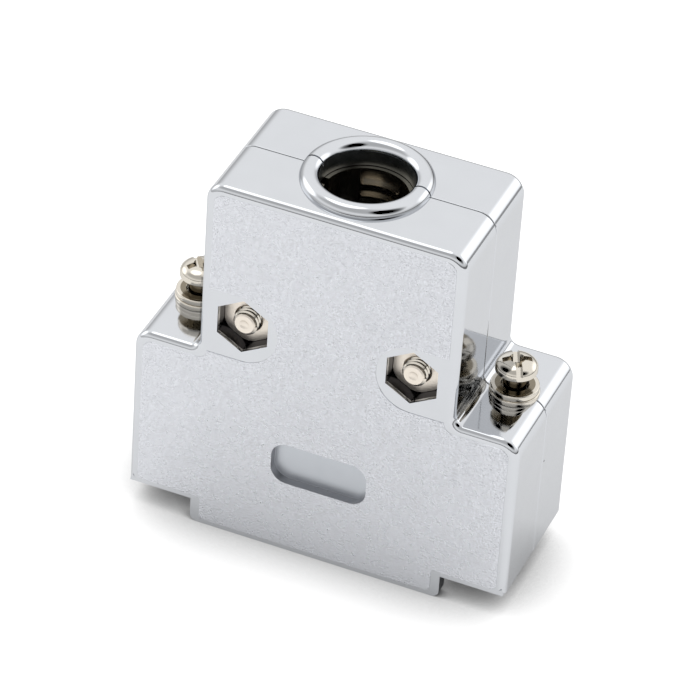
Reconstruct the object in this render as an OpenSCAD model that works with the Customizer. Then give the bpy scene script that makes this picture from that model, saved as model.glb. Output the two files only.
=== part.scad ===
// Two-shell metal hood for a 15-way D-sub cable connector, with cable clamp and captive jackscrews.
// Millimetres. X runs across the width, Y from front to back, Z up towards the cable.
// The origin is at the bottom centre: the shells part on Y = 0 and stand on Z = 0.

/* [Body] */
// Width across the shoulders
body_w = 40.4; // [40.2:0.1:42]
// Depth between the front and back faces
body_d = 15.4; // [15.2:0.1:17]
// Width of each shoulder, beside the tower that the cable leaves
shoulder_w = 6.8; // [6.5:0.1:7]
// Height of the tower
tower_h = 41.1; // [40.6:0.1:45]
// Height of the shoulders
shoulder_h = 21.4; // [20.8:0.1:21.6]
// Width of each ear, beside the lips
ear_reach = 6.8; // [6.2:0.1:7]
// Height of the lips
lip_h = 2.7; // [2:0.1:3]
// Thickness of the moulded walls
wall = 1.4; // [1.2:0.05:1.4]
// Thickness of the wall round the cable entry
top_wall = 1.6; // [1.4:0.1:2.2]
// Radius of the outline's outer corners
corner_r = 2; // [1:0.1:2.4]
// Radius where the tower meets the shoulders
neck_r = 0.9; // [0.4:0.1:1.2]
// Rounding of the front and back face edges
edge_r = 0.75; // [0.4:0.05:0.9]
// Radius of the lips' lower corners
lip_r = 0.8; // [0.3:0.1:1.2]

/* [Cable entry] */
// Bore of the cable entry
entry_d = 9.2; // [9:0.1:9.6]
// Outer diameter of the rounded collar
collar_d = 13; // [12.4:0.1:14]
// Radius of the collar's bead
bead_r = 1; // [0.85:0.05:1.1]
// Depth of the bead's centre below the tower top
bead_sink = 0.1; // [0:0.05:0.3]

/* [Connector seat] */
// Thickness left beside the slot that holds the connector flange
flange_side = 0.55; // [0.5:0.05:0.6]
// Height of the flange slot
flange_t = 1.25; // [1.1:0.05:1.5]
// Distance from each side to the opening that the connector shell passes
mouth_inset = 7.25; // [7.2:0.05:7.45]
// Thickness of the ear wall under the flange
ear_wall = 1.2; // [1:0.1:1.4]
// Thickness of the inner ribs
rib_t = 1.1; // [0.9:0.05:1.2]

/* [Case fastenings] */
// Distance of the case screws from the tower's sides
case_inset = 4.58; // [4.5:0.02:4.7]
// Height of the case screws above the shoulders
case_rise = 4.2; // [4:0.1:5]
// Thread diameter of the case screws
case_d = 2.6; // [2.4:0.1:2.6]
// Diameter of the case screw head
case_head_d = 4.6; // [4.2:0.1:4.8]
// Height of the case screw head
case_head_h = 1.7; // [1.4:0.1:1.9]
// Width of the case nut across its flats
nut_af = 5; // [4.6:0.1:5.1]
// Thickness of the case nut
nut_t = 2; // [1.6:0.1:2.1]
// Depth of the nut's outer face below the front face
nut_sink = 1.95; // [1.6:0.05:2]
// Length of thread that stands out of the nut
thread_out = 0.85; // [0.4:0.05:1.2]
// Depth of the screw head's counterbore in the back face
head_sink = 2.2; // [2:0.1:2.6]
// Thickness of metal left under the nut and under the head
boss_floor = 1.2; // [1:0.1:1.3]
// Wall of the bosses round the nut and the head
boss_wall = 1; // [0.8:0.05:1]
// Radius of the slim boss round the screw
post_r = 2.4; // [2.2:0.05:2.5]

/* [Badge recess] */
// Width of the recess in the front face
badge_w = 10.1; // [8:0.1:12]
// Height of the recess
badge_h = 4.75; // [4:0.05:6]
// Height of the recess centre
badge_z = 10.65; // [8:0.05:13]
// Corner radius of the recess
badge_r = 1.7; // [1:0.1:1.9]
// Depth of the recess
badge_depth = 0.9; // [0.4:0.05:0.95]

/* [Cable clamp] */
// Inner diameter of the closed clamp
clamp_d = 8.3; // [8:0.1:8.6]
// Width of the clamp strap
clamp_w = 5; // [4.8:0.1:5.4]
// Thickness of the clamp strap
clamp_t = 0.6; // [0.5:0.05:0.7]
// Gap between the two straps' ears
clamp_gap = 1.1; // [0.8:0.1:1.4]
// Width over the clamp's ears
clamp_span = 19.6; // [19.2:0.1:21]
// Bend fillet between trough and ear
bend_r = 0.4; // [0.2:0.05:0.5]
// Thread diameter of the clamp screws
clamp_screw_d = 2; // [1.8:0.1:2.1]
// Length of the clamp screws under the head
clamp_screw_l = 5; // [4.6:0.1:6]
// Diameter of the clamp screw head
clamp_head_d = 3.6; // [3.4:0.1:3.8]
// Height of the clamp screw head
clamp_head_h = 1.3; // [1:0.1:1.5]
// Width of the clamp nut across its flats
clamp_nut_af = 4; // [3.8:0.1:4.1]
// Thickness of the clamp nut
clamp_nut_t = 1.6; // [1.2:0.1:1.8]
// Height that the gripping ribs stand into the trough
grip_h = 0.3; // [0.2:0.05:0.35]
// Width of a rib's flat crest
grip_crest = 0.3; // [0.2:0.05:0.4]
// Distance between the two ribs of a strap
grip_pitch = 1.4; // [1.3:0.1:1.8]
// Angle that the gripping ribs span
grip_angle = 60; // [40:5:90]

/* [Jackscrews] */
// Distance of the jackscrews from the body's sides
jack_inset = 3.55; // [3.5:0.05:3.6]
// Thread diameter of the jackscrews
jack_d = 2.6; // [2.5:0.05:2.7]
// Diameter of the plain shank above the thread
shank_d = 2.25; // [2.1:0.05:2.4]
// Height that the heads stand clear of their washers
jack_lift = 1.55; // [0.8:0.05:2]
// Length of the thread
jack_thread_l = 5; // [4.4:0.1:7]
// Hole in each ear that clears the mating screw lock
lock_d = 5; // [4.4:0.1:5.4]
// Diameter of the jackscrew head
jack_head_d = 4.35; // [4:0.05:4.5]
// Height of the jackscrew head
jack_head_h = 1.45; // [1.2:0.05:1.8]
// Outer diameter of the spring washer
spring_d = 4.8; // [4.4:0.1:4.9]
// Thickness of the spring washer
spring_t = 0.6; // [0.4:0.05:0.7]
// Width of the spring washer's split
spring_split = 0.5; // [0.3:0.05:0.8]
// Outer diameter of the flat washer
flat_d = 5; // [4.6:0.1:5]
// Thickness of the flat washer
flat_t = 0.55; // [0.3:0.05:0.6]
// Outer diameter of the retaining ring
ring_d = 3.9; // [3.6:0.1:3.9]
// Thickness of the retaining ring
ring_t = 0.5; // [0.4:0.05:0.6]
// Room above the retaining ring for the screw's rise
ring_room = 4; // [3:0.1:5]
// Diameter at the bottom of the ring groove
groove_d = 1.7; // [1.5:0.05:1.8]

/* [Drive recess] */
// Width of the slot and of the cross arms
slot_w = 0.6; // [0.4:0.05:0.8]
// Depth of the slot
slot_depth = 0.75; // [0.5:0.05:0.9]
// Share of the head that the cross arms span
cross_share = 0.62; // [0.5:0.02:0.7]
// Turn of the left jackscrew's slot away from the Y axis
left_turn = 48; // [0:1:90]
// Turn of the right jackscrew's slot away from the Y axis
right_turn = 20; // [0:1:90]

/* [Fits] */
// Radial running clearance of the jackscrews in their guides
jack_fit = 0.08; // [0.05:0.01:0.1]
// Radial clearance of the case and clamp screws in plain holes
screw_fit = 0.15; // [0.1:0.01:0.2]
// Radial clearance of a screw in its nut
thread_fit = 0.02; // [0.01:0.01:0.03]
// Clearance of the nuts in their pockets, a side
nut_fit = 0.04; // [0.02:0.01:0.06]
// Radial clearance of a washer on the thread
washer_fit = 0.08; // [0.05:0.01:0.12]
// Clearance of the retaining ring in its groove
ring_fit = 0.05; // [0.03:0.01:0.08]
// Play of the clamp below the top wall
clamp_fit = 0.07; // [0.05:0.01:0.1]

/* [Hidden] */

$fn = 64;
LEFT = -1;
RIGHT = 1;
// Overshoot of a cut past the face it opens
cut = 0.5;
plating = [0.78, 0.80, 0.83];
steel = [0.74, 0.71, 0.66];

half_d = body_d / 2;
inner_d = half_d - wall;
ear_top = lip_h + ear_wall;
slot_top = ear_top + flange_t;
tower_w = body_w - 2 * shoulder_w;
lip_w = body_w - 2 * ear_reach;
flange_w = body_w - 2 * flange_side;
mouth_w = body_w - 2 * mouth_inset;
tower_in = tower_w / 2 - wall;
base_in = body_w / 2 - wall;
case_x = tower_w / 2 - case_inset;
case_z = shoulder_h + case_rise;
jack_x = body_w / 2 - jack_inset;
jack_l = shoulder_h + flat_t + spring_t + jack_lift;
ring_z = shoulder_h - wall - ring_room - ring_t;
ceiling_z = tower_h - top_wall;
clamp_top = ceiling_z - clamp_fit;
clamp_z = clamp_top - clamp_w / 2;
clamp_floor = clamp_top - clamp_w;
clamp_out_r = clamp_d / 2 + clamp_t;
ear_face = clamp_gap / 2 + clamp_t;
nut_seat = half_d - nut_sink - nut_t;
head_seat = half_d - head_sink;
nut_corner_r = nut_af / 2 / cos(30);
washer_r = jack_d / 2 + washer_fit;
shelf_x = clamp_out_r + bend_r;
clamp_x = (shelf_x + clamp_span / 2) / 2;

// ---------- profiles ----------

// Flat outline of a slab that stands on the X axis, with its upper corners rounded
module slab_outline(w, h, r) {
    square_h = h - r;
    translate([-w / 2, 0]) square([w, square_h]);
    translate([r - w / 2, 0]) square([w - 2 * r, h]);
    for (side = [LEFT, RIGHT]) translate([side * (w / 2 - r), square_h]) circle(r);
}

// Slab with its outer face at z = t, whose face edges are rounded up both sides and over the top
module rounded_slab(w, h, t, r, e) {
    linear_extrude(t - e) slab_outline(w, h, r);
    linear_extrude(t) slab_outline(w - 2 * e, h - e, r - e);
    for (side = [LEFT, RIGHT]) {
        translate([side * (w / 2 - e), 0, t - e]) rotate([-90, 0, 0]) cylinder(r = e, h = h - r);
        translate([side * (w / 2 - r), h - r, t - e])
            rotate([0, 0, side == RIGHT ? 0 : 90])
                rotate_extrude(angle = 90) translate([r - e, 0]) circle(e);
    }
    translate([r - w / 2, h - e, t - e]) rotate([0, 90, 0]) cylinder(r = e, h = w - 2 * r);
}

// Fillet in the inner corner at the origin, which carries the rounded face edge round the bend
module neck_fillet(t, r, e) {
    difference() {
        translate([-e, -e, 0]) cube([e + r, e + r, t]);
        translate([r, r, -cut]) cylinder(r = r, h = t + 2 * cut);
        translate([r, r, t - e]) rotate_extrude() difference() {
            square([r + e, e + cut]);
            translate([r + e, 0]) circle(e);
        }
    }
}

// Cheese-topped head profile to revolve: a straight side and a rounded upper rim
module head_profile(d, h) {
    rim = 0.4 * h;
    square([d / 2, h - rim]);
    square([d / 2 - rim, h]);
    translate([d / 2 - rim, h - rim]) intersection() {
        circle(rim);
        square(rim);
    }
}

// ---------- screws, nuts and washers, each along +Z ----------

// Slot right across the head, crossed by two shorter arms over a pointed centre
module drive_cut(d, h) {
    span = cross_share * d;
    translate([-slot_w / 2, -d, h - slot_depth]) cube([slot_w, 2 * d, slot_depth + cut]);
    translate([-span / 2, -slot_w / 2, h - slot_depth]) cube([span, slot_w, slot_depth + cut]);
    translate([0, 0, h - slot_depth - slot_w / 2])
        cylinder(r1 = slot_w / 2, r2 = slot_w * 1.3, h = slot_depth + slot_w / 2 + cut);
}

// Head that sits on z = 0
module pan_head(d, h) {
    difference() {
        rotate_extrude() head_profile(d, h);
        drive_cut(d, h);
    }
}

// Shank below z = 0 with a chamfered tip
module screw_shank(d, l) {
    tip = 0.15 * d;
    translate([0, 0, tip - l]) cylinder(d = d, h = l - tip);
    translate([0, 0, -l]) cylinder(r1 = d / 2 - tip, r2 = d / 2, h = tip);
}

// Hexagon nut on z = 0, its corners and its thread mouth chamfered; points lie on Y
module hex_nut(af, t, d) {
    corner = af / 2 / cos(30);
    bevel = (corner - af / 2) * 0.9;
    mouth = 0.15;
    difference() {
        intersection() {
            rotate([0, 0, 30]) cylinder(r = corner, h = t, $fn = 6);
            rotate_extrude() polygon([
                [0, 0],
                [corner, 0],
                [corner, t - bevel * tan(30)],
                [corner - bevel, t],
                [0, t]
            ]);
        }
        translate([0, 0, -cut]) cylinder(r = d / 2 + thread_fit, h = t + 2 * cut);
        translate([0, 0, t - mouth]) cylinder(r1 = d / 2 + thread_fit, r2 = d / 2 + 2 * mouth, h = 2 * mouth);
    }
}

// Plain ring on z = 0
module washer(d, t) {
    difference() {
        cylinder(d = d, h = t);
        translate([0, 0, -cut]) cylinder(r = washer_r, h = t + 2 * cut);
    }
}

// ---------- shells, laid with the parting plane on z = 0 and the outer face up ----------

// Closed outside of one half, with its half of the collar
module half_block() {
    difference() {
        rounded_slab(tower_w, tower_h, half_d, corner_r, edge_r);
        translate([-tower_w, -cut, -cut]) cube([2 * tower_w, ear_top + cut, half_d + 2 * cut]);
    }
    translate([0, lip_h, 0]) rounded_slab(body_w, shoulder_h - lip_h, half_d, corner_r, edge_r);
    for (side = [LEFT, RIGHT])
        translate([side * tower_w / 2, shoulder_h, 0])
            mirror([side == LEFT ? 1 : 0, 0, 0]) neck_fillet(half_d, neck_r, edge_r);
    translate([0, tower_h - bead_sink, 0]) rotate([-90, 180, 0])
        rotate_extrude(angle = 180) translate([collar_d / 2 - bead_r, 0]) circle(bead_r);
}

// Lip below the ears, as thick as the wall
module lip() {
    translate([0, 0, inner_d]) linear_extrude(wall) difference() {
        translate([-lip_w / 2, 0]) square([lip_w, ear_top]);
        for (side = [LEFT, RIGHT]) mirror([side == LEFT ? 1 : 0, 0])
            translate([lip_w / 2 - lip_r, 0]) difference() {
                translate([0, -cut]) square([lip_r + cut, lip_r + cut]);
                translate([0, lip_r]) circle(lip_r);
            }
    }
}

// Room inside: tower, base, flange slot and the mouth below them
module cavities() {
    translate([-tower_in, ear_top, -cut]) cube([2 * tower_in, ceiling_z - ear_top, inner_d + cut]);
    translate([-base_in, ear_top, -cut]) cube([2 * base_in, shoulder_h - wall - ear_top, inner_d + cut]);
    translate([-flange_w / 2, ear_top, -cut]) cube([flange_w, flange_t, inner_d + cut]);
    translate([-mouth_w / 2, lip_h - cut, -cut]) cube([mouth_w, ear_wall + 2 * cut, inner_d + cut]);
}

// Rib beside each jackscrew and the guide across its channel, which also hold the flange down
module jack_ribs() {
    rib_x = mouth_w / 2;
    for (side = [LEFT, RIGHT]) mirror([side == LEFT ? 1 : 0, 0, 0]) {
        translate([rib_x, slot_top, 0]) cube([rib_t, shoulder_h - wall / 2 - slot_top, inner_d + wall / 2]);
        translate([rib_x, slot_top, 0]) cube([base_in + wall / 4 - rib_x, rib_t, inner_d + wall / 2]);
    }
}

// Shelf under the clamp's ears and the two slanting cradle ribs that its trough rests against
module clamp_seat() {
    cradle_angle = 30;
    for (side = [LEFT, RIGHT]) mirror([side == LEFT ? 1 : 0, 0, 0]) {
        translate([shelf_x, clamp_floor - rib_t, 0])
            cube([tower_in + wall / 2 - shelf_x, rib_t, inner_d + wall / 2]);
        translate([0, clamp_floor - rib_t, 0]) rotate([0, cradle_angle, 0])
            translate([-rib_t / 2, 0, clamp_out_r]) cube([
                rib_t,
                clamp_w + rib_t + clamp_fit + top_wall / 2,
                (inner_d + wall / 2) / cos(cradle_angle) - clamp_out_r
            ]);
    }
}

// Stepped boss at each case screw: wide round the seat, slim to the parting plane
module case_bosses(wide_r, seat) {
    for (side = [LEFT, RIGHT]) translate([side * case_x, case_z, 0]) {
        cylinder(r = post_r, h = inner_d);
        translate([0, 0, seat - boss_floor]) cylinder(r = wide_r, h = half_d - edge_r - seat + boss_floor);
    }
}

// Round hole up through a level wall that spans from z0 to z0 + t
module level_hole(x, z0, t, r) {
    translate([x, z0 - cut, 0]) rotate([-90, 0, 0]) cylinder(r = r, h = t + 2 * cut);
}

// Holes that both halves have: along the jackscrews, at the case screws and the cable entry
module common_holes() {
    for (side = [LEFT, RIGHT]) {
        level_hole(side * jack_x, lip_h, ear_wall, lock_d / 2);
        level_hole(side * jack_x, slot_top, rib_t, jack_d / 2 + jack_fit);
        level_hole(side * jack_x, shoulder_h - wall, wall, shank_d / 2 + jack_fit);
        translate([side * case_x, case_z, -cut]) cylinder(r = case_d / 2 + screw_fit, h = body_d);
    }
    translate([0, ceiling_z - cut, 0]) rotate([-90, 0, 0])
        cylinder(d = entry_d, h = top_wall + 2 * bead_r + 2 * cut);
}

// One hollow half with a boss of the given radius and seat depth at each case screw
module half_shell(wide_r, seat) {
    difference() {
        union() {
            difference() {
                half_block();
                cavities();
            }
            lip();
            jack_ribs();
            clamp_seat();
            case_bosses(wide_r, seat);
        }
        common_holes();
    }
}

module front_shell() {
    pocket_r = (nut_af / 2 + nut_fit) / cos(30);
    color(plating) rotate([90, 0, 0]) difference() {
        half_shell(nut_corner_r + boss_wall, nut_seat);
        for (side = [LEFT, RIGHT]) translate([side * case_x, case_z, nut_seat])
            rotate([0, 0, 30]) cylinder(r = pocket_r, h = half_d, $fn = 6);
        translate([-badge_w / 2, badge_z - badge_h / 2, half_d - badge_depth]) linear_extrude(half_d) {
            translate([badge_r, 0]) square([badge_w - 2 * badge_r, badge_h]);
            translate([0, badge_r]) square([badge_w, badge_h - 2 * badge_r]);
            for (x = [badge_r, badge_w - badge_r], y = [badge_r, badge_h - badge_r])
                translate([x, y]) circle(badge_r);
        }
    }
}

module rear_shell() {
    head_room = case_head_d / 2 + screw_fit;
    color(plating) mirror([0, 1, 0]) rotate([90, 0, 0]) difference() {
        half_shell(head_room + boss_wall, head_seat);
        for (side = [LEFT, RIGHT]) translate([side * case_x, case_z, head_seat])
            cylinder(r = head_room, h = half_d);
    }
}

// ---------- cable clamp ----------

// Section of one strap: half trough, two ears and the bends between them
module strap_section() {
    bend_y = ear_face + bend_r;
    bend_x = sqrt(pow(clamp_out_r + bend_r, 2) - pow(bend_y, 2));
    reach = clamp_out_r / (clamp_out_r + bend_r);
    difference() {
        union() {
            circle(clamp_out_r);
            translate([-clamp_span / 2, 0]) square([clamp_span, ear_face]);
            for (side = [LEFT, RIGHT]) mirror([side == LEFT ? 1 : 0, 0]) difference() {
                polygon([[0, 0], [bend_x, 0], [bend_x, ear_face], [bend_x, bend_y],
                         [bend_x * reach, bend_y * reach]]);
                translate([bend_x, bend_y]) circle(bend_r);
            }
        }
        circle(d = clamp_d);
        translate([-clamp_span, clamp_gap / 2 - clamp_span]) square([2 * clamp_span, clamp_span]);
    }
}

// The two gripping ribs: arcs that stand grip_h inside radius r, with a flat crest and sloping flanks
module grip_ribs(r) {
    root = clamp_t / 2;
    foot = grip_crest / 2 + grip_h + root;
    for (level = [-1, 1]) translate([0, 0, clamp_z + level * grip_pitch / 2])
        rotate([0, 0, 90 - grip_angle / 2]) rotate_extrude(angle = grip_angle) polygon([
            [r - grip_h, -grip_crest / 2],
            [r + root, -foot],
            [r + root, foot],
            [r - grip_h, grip_crest / 2]
        ]);
}

// Strap behind the cable, its trough open towards -Y; the ribs are pressed in from its back
module clamp_strap() {
    difference() {
        union() {
            translate([0, 0, clamp_floor]) linear_extrude(clamp_w) strap_section();
            grip_ribs(clamp_d / 2);
        }
        grip_ribs(clamp_out_r);
        for (side = [LEFT, RIGHT]) translate([side * clamp_x, 0, clamp_z]) rotate([-90, 0, 0])
            cylinder(r = clamp_screw_d / 2 + screw_fit, h = half_d);
    }
}

module rear_clamp_strap() {
    color(steel) clamp_strap();
}

module front_clamp_strap() {
    color(steel) mirror([0, 1, 0]) clamp_strap();
}

module clamp_screw(side) {
    color(steel) translate([side * clamp_x, -ear_face, clamp_z]) rotate([90, 0, 0]) {
        pan_head(clamp_head_d, clamp_head_h);
        screw_shank(clamp_screw_d, clamp_screw_l);
    }
}

module clamp_nut(side) {
    color(steel) translate([side * clamp_x, ear_face, clamp_z]) rotate([-90, 0, 0])
        hex_nut(clamp_nut_af, clamp_nut_t, clamp_screw_d);
}

// ---------- case fastenings ----------

module case_screw(side) {
    screw_l = head_seat + half_d - nut_sink + thread_out;
    color(steel) translate([side * case_x, head_seat, case_z]) rotate([-90, 0, 0]) {
        pan_head(case_head_d, case_head_h);
        screw_shank(case_d, screw_l);
    }
}

module case_nut(side) {
    color(steel) translate([side * case_x, -nut_seat, case_z]) rotate([90, 0, 0])
        hex_nut(nut_af, nut_t, case_d);
}

// ---------- jackscrews ----------

// Jackscrew with its tip on z = 0: thread, plain shank, ring groove and head
module jackscrew(side, turn) {
    tip = 0.15 * jack_d;
    groove_z = ring_z - ring_fit;
    groove_h = ring_t + 2 * ring_fit;
    color(steel) translate([side * jack_x, 0, 0]) {
        cylinder(r1 = jack_d / 2 - tip, r2 = jack_d / 2, h = tip);
        translate([0, 0, tip]) cylinder(d = jack_d, h = jack_thread_l - tip);
        difference() {
            translate([0, 0, jack_thread_l]) cylinder(d = shank_d, h = jack_l - jack_thread_l);
            translate([0, 0, groove_z]) cylinder(d = jack_d, h = groove_h);
        }
        translate([0, 0, jack_thread_l]) cylinder(d = groove_d, h = jack_l - jack_thread_l);
        translate([0, 0, jack_l]) rotate([0, 0, turn]) pan_head(jack_head_d, jack_head_h);
    }
}

// Open ring that snaps into the groove on three inner lugs
module retaining_ring(side) {
    lug_r = groove_d / 2 + ring_fit;
    rim_r = ring_d / 2 - 0.25 * ring_d / 2;
    color(steel) translate([side * jack_x, 0, ring_z]) linear_extrude(ring_t) difference() {
        union() {
            difference() {
                circle(d = ring_d);
                circle(rim_r);
            }
            for (a = [0, 90, 180]) rotate([0, 0, a]) translate([0, -lug_r / 2]) square([rim_r + lug_r / 4, lug_r]);
        }
        circle(lug_r);
        translate([-lug_r, -ring_d]) square([2 * lug_r, ring_d]);
    }
}

module spring_washer(side) {
    color(steel) translate([side * jack_x, 0, shoulder_h + flat_t]) difference() {
        washer(spring_d, spring_t);
        rotate([0, 0, 135]) translate([-spring_split / 2, 0, -cut])
            cube([spring_split, spring_d, spring_t + 2 * cut]);
    }
}

module flat_washer(side) {
    color(steel) translate([side * jack_x, 0, shoulder_h]) washer(flat_d, flat_t);
}

front_shell();
rear_shell();
front_clamp_strap();
rear_clamp_strap();
clamp_screw(LEFT);  // left_clamp_screw
clamp_screw(RIGHT);  // right_clamp_screw
clamp_nut(LEFT);  // left_clamp_nut
clamp_nut(RIGHT);  // right_clamp_nut
case_screw(LEFT);  // left_case_screw
case_screw(RIGHT);  // right_case_screw
case_nut(LEFT);  // left_case_nut
case_nut(RIGHT);  // right_case_nut
jackscrew(LEFT, left_turn);  // left_jackscrew
jackscrew(RIGHT, right_turn);  // right_jackscrew
retaining_ring(LEFT);  // left_retaining_ring
retaining_ring(RIGHT);  // right_retaining_ring
spring_washer(LEFT);  // left_spring_washer
spring_washer(RIGHT);  // right_spring_washer
flat_washer(LEFT);  // left_flat_washer
flat_washer(RIGHT);  // right_flat_washer
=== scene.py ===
"""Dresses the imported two-shell metal hood of a 15-way D-sub cable connector.

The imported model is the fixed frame. The shells and fasteners are modelled again here with finer
edges, threads and drive recesses, and the straps and rings are smoothed copies of their nodes.
Sizes in the classes are millimetres; a finished mesh is in metres.
"""
import logging
import math
from dataclasses import dataclass
from enum import Enum
from typing import Callable, Iterable

import bmesh
import bpy
from mathutils import Matrix, Vector


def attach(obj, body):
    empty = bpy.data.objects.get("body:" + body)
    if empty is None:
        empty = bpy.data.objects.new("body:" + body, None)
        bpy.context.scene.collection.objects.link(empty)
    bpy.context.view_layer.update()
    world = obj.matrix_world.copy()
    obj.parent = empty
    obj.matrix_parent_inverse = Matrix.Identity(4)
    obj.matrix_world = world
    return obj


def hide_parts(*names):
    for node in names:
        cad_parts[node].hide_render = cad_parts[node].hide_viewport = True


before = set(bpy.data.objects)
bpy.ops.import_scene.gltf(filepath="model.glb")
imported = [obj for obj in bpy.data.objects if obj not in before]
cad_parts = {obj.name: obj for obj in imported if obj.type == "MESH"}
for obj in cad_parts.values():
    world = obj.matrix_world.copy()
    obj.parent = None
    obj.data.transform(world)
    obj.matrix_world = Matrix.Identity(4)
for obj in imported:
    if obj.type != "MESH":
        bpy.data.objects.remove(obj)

LOG = logging.getLogger("hood")
MM = 0.001
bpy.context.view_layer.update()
Span = tuple[float, float]
Point = tuple[float, float, float]

# Slack when places are compared, and how far a tool reaches past what it cuts, in millimetres.
TINY = 1e-4
PAST = 1.0

# Places and the thread pitch that several pieces share, in millimetres.
JACK_X = 16.65
CASE_X = 8.82
CASE_Z = 25.6
SHOULDER_Z = 21.4
NUT_FLOOR = 3.75
HEAD_FLOOR = 5.5
PITCH = 0.45


def span(one: float, other: float) -> Span:
    """Two values in rising order."""
    return (min(one, other), max(one, other))


def both_sides(right: list[Point]) -> list[Point]:
    """Whole outline from the corners of its right half, each as X, Z and radius."""
    return right + [(-x, z, radius) for x, z, radius in reversed(right)]


class Side(Enum):
    """Left or right half of the hood, as the sign of X."""

    LEFT = -1
    RIGHT = 1

    @property
    def label(self) -> str:
        """Word that starts the names of this side's pieces."""
        return self.name.lower()

    def across(self, near: float, far: float) -> Span:
        """Lowest and highest X of a piece on this side, from its two distances to the middle."""
        return span(self.value * near, self.value * far)


class Face(Enum):
    """Front or rear half of the hood, as the sign of Y."""

    FRONT = -1
    REAR = 1

    @property
    def label(self) -> str:
        """Word that starts the names of this half's pieces."""
        return self.name.lower()

    def depth(self, near: float, far: float) -> Span:
        """Lowest and highest Y of a layer, from its two distances to the parting plane."""
        return span(self.value * near, self.value * far)


class Slot(Enum):
    """Material slots of the record."""

    SHELL = "shell_plate"
    SCREW = "screw_steel"
    CLAMP = "clamp_steel"


class Axis(Enum):
    """Row axis that a round tool points along."""

    X = Matrix.Rotation(math.pi / 2, 4, "Y")
    Y = Matrix.Rotation(-math.pi / 2, 4, "X")
    Z = Matrix.Identity(4)


# ---------- finishes ----------


@dataclass(frozen=True)
class Finish:
    """A plated metal surface.

    Args:
        name: Name of the material.
        color: Base colour, linear.
        roughness: Mean roughness.
        grain: Height of the fine grain, in millimetres.
        grain_size: Size of the grain, in millimetres.
        ripple: Height of the slow waviness, in millimetres.
        ripple_size: Length of the waviness, in millimetres.
        edge: Share of a plain metal's brightness that is left at grazing angles.
        mottle: Share by which the colour drifts to either side.
        mottle_size: Size of the patches of colour, in millimetres.
        wear: Lowest and highest share of the mean roughness.
        wear_size: Size of the patches of roughness, in millimetres.
    """

    name: str
    color: Point
    roughness: float
    grain: float = 0.0
    grain_size: float = 0.3
    ripple: float = 0.0
    ripple_size: float = 6.0
    edge: float = 0.78
    mottle: float = 0.03
    mottle_size: float = 3.0
    wear: Span = (0.8, 1.25)
    wear_size: float = 1.1

    def build(self) -> bpy.types.Material:
        """Makes the node material where it isn't made yet.

        Returns:
            The material.
        """
        if self.name in bpy.data.materials:
            return bpy.data.materials[self.name]
        material = bpy.data.materials.new(self.name)
        material.use_nodes = True
        nodes, links = material.node_tree.nodes, material.node_tree.links
        shader = nodes["Principled BSDF"]
        shader.inputs["Metallic"].default_value = 1.0
        shader.inputs["Specular Tint"].default_value = (*(self.edge,) * 3, 1.0)

        tint = nodes.new("ShaderNodeMix")
        tint.data_type = "RGBA"
        tint.inputs["A"].default_value = (*((1 - self.mottle) * c for c in self.color), 1.0)
        tint.inputs["B"].default_value = (*(min(1.0, (1 + self.mottle) * c) for c in self.color), 1.0)
        links.new(self.noise(material, self.mottle_size, detail=3.0), tint.inputs["Factor"])
        links.new(tint.outputs["Result"], shader.inputs["Base Color"])

        rough = nodes.new("ShaderNodeMapRange")
        rough.inputs["To Min"].default_value = self.wear[0] * self.roughness
        rough.inputs["To Max"].default_value = self.wear[1] * self.roughness
        links.new(self.noise(material, self.wear_size, detail=2.0), rough.inputs["Value"])
        links.new(rough.outputs["Result"], shader.inputs["Roughness"])

        normal = None
        for height, size, detail in (
            (self.ripple, self.ripple_size, 1.0),
            (self.grain, self.grain_size, 2.0),
        ):
            if height > 0:
                bump = nodes.new("ShaderNodeBump")
                bump.inputs["Strength"].default_value = 1.0
                bump.inputs["Distance"].default_value = height * MM
                links.new(self.noise(material, size, detail), bump.inputs["Height"])
                if normal is not None:
                    links.new(normal, bump.inputs["Normal"])
                normal = bump.outputs["Normal"]
        if normal is not None:
            links.new(normal, shader.inputs["Normal"])
        return material

    @staticmethod
    def noise(material: bpy.types.Material, size: float, detail: float) -> bpy.types.NodeSocket:
        """Adds noise on object coordinates.

        Args:
            material: Material that the nodes go into.
            size: Feature size in millimetres.
            detail: Number of octaves.

        Returns:
            The socket of the noise value.
        """
        nodes, links = material.node_tree.nodes, material.node_tree.links
        place = nodes.new("ShaderNodeTexCoord")
        noise = nodes.new("ShaderNodeTexNoise")
        noise.inputs["Scale"].default_value = 1.0 / (size * MM)
        noise.inputs["Detail"].default_value = detail
        links.new(place.outputs["Object"], noise.inputs["Vector"])
        return noise.outputs[0]


MIRROR_PLATE = Finish("mirror_plate", (0.62, 0.635, 0.66), 0.08, ripple=0.0013, ripple_size=5.0)
BADGE_PLATE = Finish("badge_plate", (0.60, 0.625, 0.66), 0.38)
SATIN_PLATE = Finish("satin_plate", (0.765, 0.78, 0.82), 0.26, grain=0.16, grain_size=0.18)
# Painted shade: near-black walls of the nut pockets and the small pit.
POCKET_SHADE = Finish("pocket_painted_shade", (0.05, 0.05, 0.055), 0.15)
# Painted shade: darker plate on the inner rooms and the recess's walls; its grain is a bump.
INNER_SHADE = Finish("inner_painted_shade", (0.36, 0.365, 0.385), 0.30, grain=0.05, grain_size=0.4)
# Painted shade: dark wall of the cable entry.
BORE_SHADE = Finish("bore_painted_shade", (0.24, 0.26, 0.27), 0.30)
SCREW_NICKEL = Finish("screw_nickel", (0.66, 0.62, 0.55), 0.10, grain=0.002, grain_size=0.12)
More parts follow.
